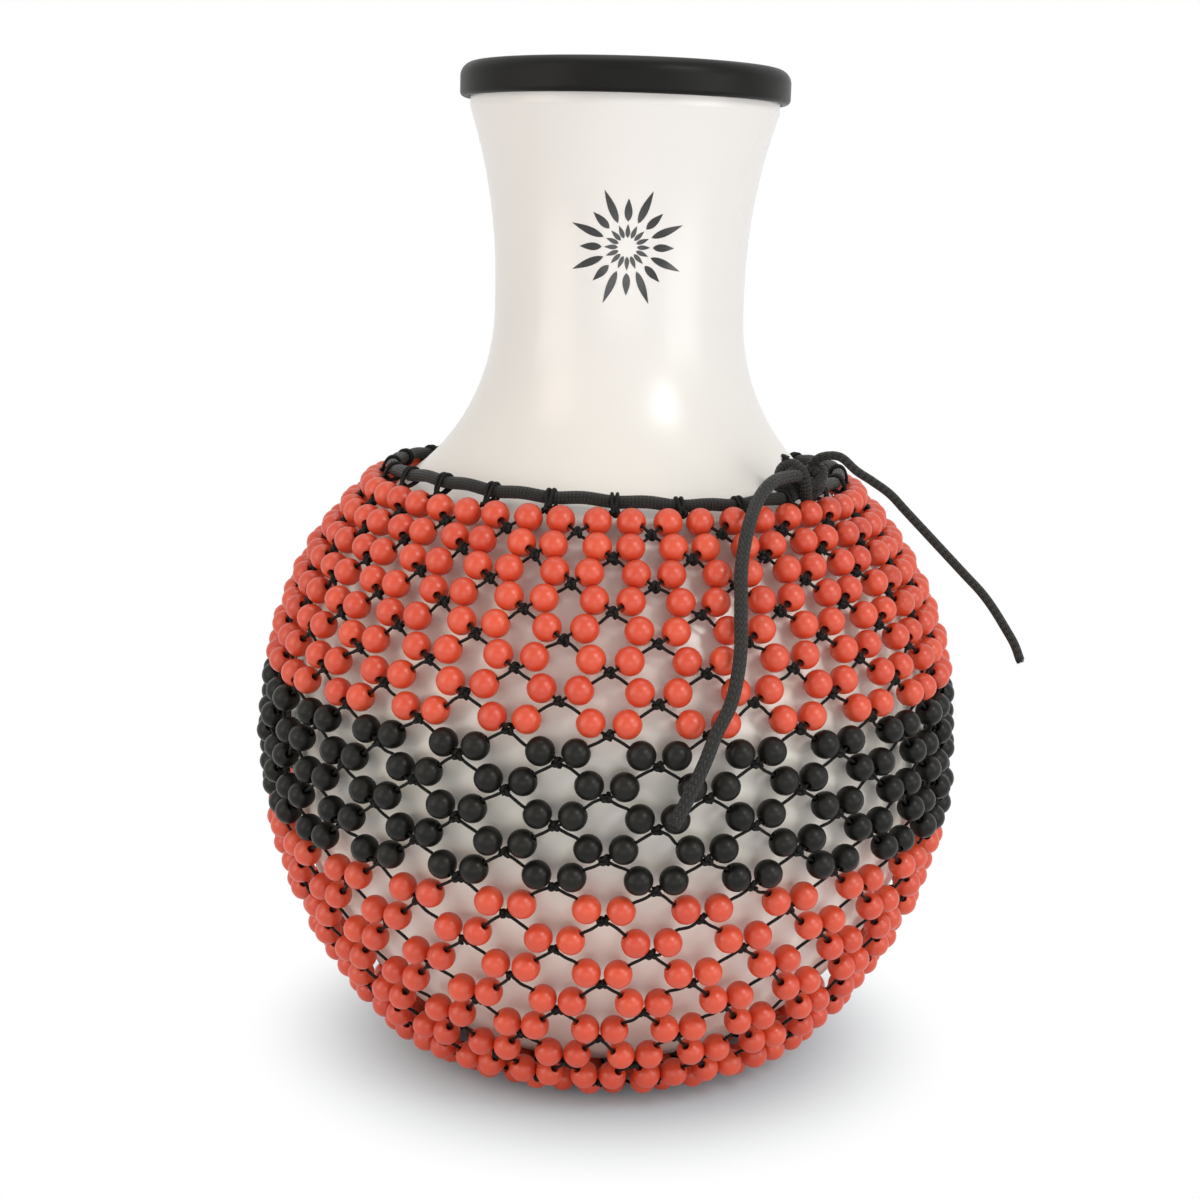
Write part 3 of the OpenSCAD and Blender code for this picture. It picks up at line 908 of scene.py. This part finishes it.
def leaf(turn, near, far, half_width):
    """One leaf that points outwards, pointed at both ends, as (corners, faces, empty chart)."""
    t = np.linspace(0, 1, LEAF_STEPS + 1)
    wide = half_width * np.sin(np.pi * t**LEAF_FULLNESS)
    way = near + (far - near) * t
    x, z = np.concatenate([way, way]), np.concatenate([-wide, wide])
    turned_x, turned_z = (
        x * np.cos(turn) - z * np.sin(turn),
        x * np.sin(turn) + z * np.cos(turn),
    )
    other = LEAF_STEPS + 1
    faces = [[i, i + 1, other + i + 1, other + i] for i in range(LEAF_STEPS)]
    return on_neck(turned_x, turned_z), faces, np.empty((0, 2))


leaves = [
    leaf(FULL_TURN * i / RAYS, *sizes)
    for i in range(RAYS)
    for sizes in (LONG_RAY if i % 2 else SHORT_RAY, LOZENGE)
]
corners, faces, _ = joined(leaves)
add_piece("neck_ornament", corners, faces, ink, body="shell")


# Floor and light

WHITE = (1, 1, 1, 1)
# The floor's colour for light that bounces off it, and a darker blue-grey that the camera and
# glosses see: a painted shadow round the object, which fades into plain white between these
# distances from the middle
FLOOR_LIT, FLOOR_PAINTED_SHADOW = (0.92, 0.93, 0.95, 1), (0.46, 0.585, 0.65, 1)
FLOOR_HALF = 4
FADE_FROM, FADE_TO = 0.05, 0.132
SKY, SKY_STRENGTH = (0.97, 0.98, 1.0, 1), 0.40


def seen_straight(n):
    """1 for rays from the camera, from a gloss and through glass, and 0 for the rest."""
    seen = n.add("LightPath")
    either = n.math("MAXIMUM", seen.outputs["Is Camera Ray"], seen.outputs["Is Glossy Ray"])
    return n.math("MAXIMUM", either, seen.outputs["Is Transmission Ray"])


floor_material, n, shader = new_material("floor")
n.tree.nodes.remove(shader)
seen = seen_straight(n)
# Painted shadow: straight rays see the floor in a darker blue-grey near the object
matte = n.add("BsdfDiffuse", inputs={"Color": n.mix(seen, FLOOR_LIT, FLOOR_PAINTED_SHADOW)})
white = n.add("Emission", inputs={"Color": WHITE, "Strength": 1.0})
place = n.add("TexCoord").outputs["Object"]
far = n.add("VectorMath", operation="LENGTH", inputs={0: place}).outputs["Value"]
span = {"Value": far, "From Min": FADE_FROM, "From Max": FADE_TO}
fade = n.add("MapRange", interpolation_type="SMOOTHSTEP", inputs=span)
share = n.math("MULTIPLY", fade.outputs[0], seen)
blend = n.add("MixShader", inputs={0: share, 1: matte.outputs[0], 2: white.outputs[0]})
n.feed(n.tree.nodes["Material Output"].inputs["Surface"], blend.outputs[0])

mesh = bpy.data.meshes.new("floor")
square = [(x * FLOOR_HALF, y * FLOOR_HALF, 0) for x, y in ((-1, -1), (1, -1), (1, 1), (-1, 1))]
mesh.from_pydata(square, [], [(0, 1, 2, 3)])
mesh.materials.append(floor_material)
floor = add_object("floor", mesh)

world = bpy.data.worlds.new("studio")
bpy.context.scene.world = world
world.use_nodes = True
n = Nodes(world.node_tree)
n.tree.nodes.clear()
straight = seen_straight(n)
soft = n.add("Background", inputs={"Color": SKY, "Strength": SKY_STRENGTH})
plain = n.add("Background", inputs={"Color": WHITE, "Strength": 1.0})
blend = n.add("MixShader", inputs={0: straight, 1: soft.outputs[0], 2: plain.outputs[0]})
n.feed(n.add("OutputWorld").inputs["Surface"], blend.outputs[0])

# Each softbox's name, place, aim, width and height, watts and colour
MIDDLE = (0, 0, 0.15)
BELLY = (0, 0, 0.10)
SOFTBOXES = [
    ("right_window", (0.72, -0.78, 0.98), MIDDLE, (0.34, 0.34), 4.8, (1.0, 0.99, 0.97)),
    ("left_window", (-0.85, -0.62, 0.85), MIDDLE, (0.5, 0.5), 2.1, (1.0, 0.83, 0.67)),
    ("top_light", (0.0, 0.15, 1.3), MIDDLE, (0.6, 0.6), 2.2, (1.0, 1.0, 1.0)),
    ("right_fill", (1.0, -0.62, 0.30), BELLY, (0.7, 0.5), 3.1, (1.0, 0.97, 0.93)),
    ("left_fill", (-1.0, -0.62, 0.30), BELLY, (0.7, 0.5), 2.8, (1.0, 0.94, 0.86)),
    ("front_fill", (0.05, -1.2, 0.10), BELLY, (0.8, 0.4), 2.0, (1.0, 1.0, 1.0)),
]

for name, place, aim, size, watts, colour in SOFTBOXES:
    light = bpy.data.lights.new(name, "AREA")
    light.shape = "RECTANGLE"
    light.size, light.size_y = size
    light.energy = watts
    light.color = colour
    back = -unit(np.array(aim) - np.array(place))
    x = unit(np.cross([0, 0, 1], back))
    y = np.cross(back, x)
    rows = [[x[i], y[i], back[i], place[i]] for i in range(3)]
    add_object(name, light).matrix_world = Matrix(rows + [[0, 0, 0, 1]])

bpy.context.scene.view_settings.view_transform = "Standard"
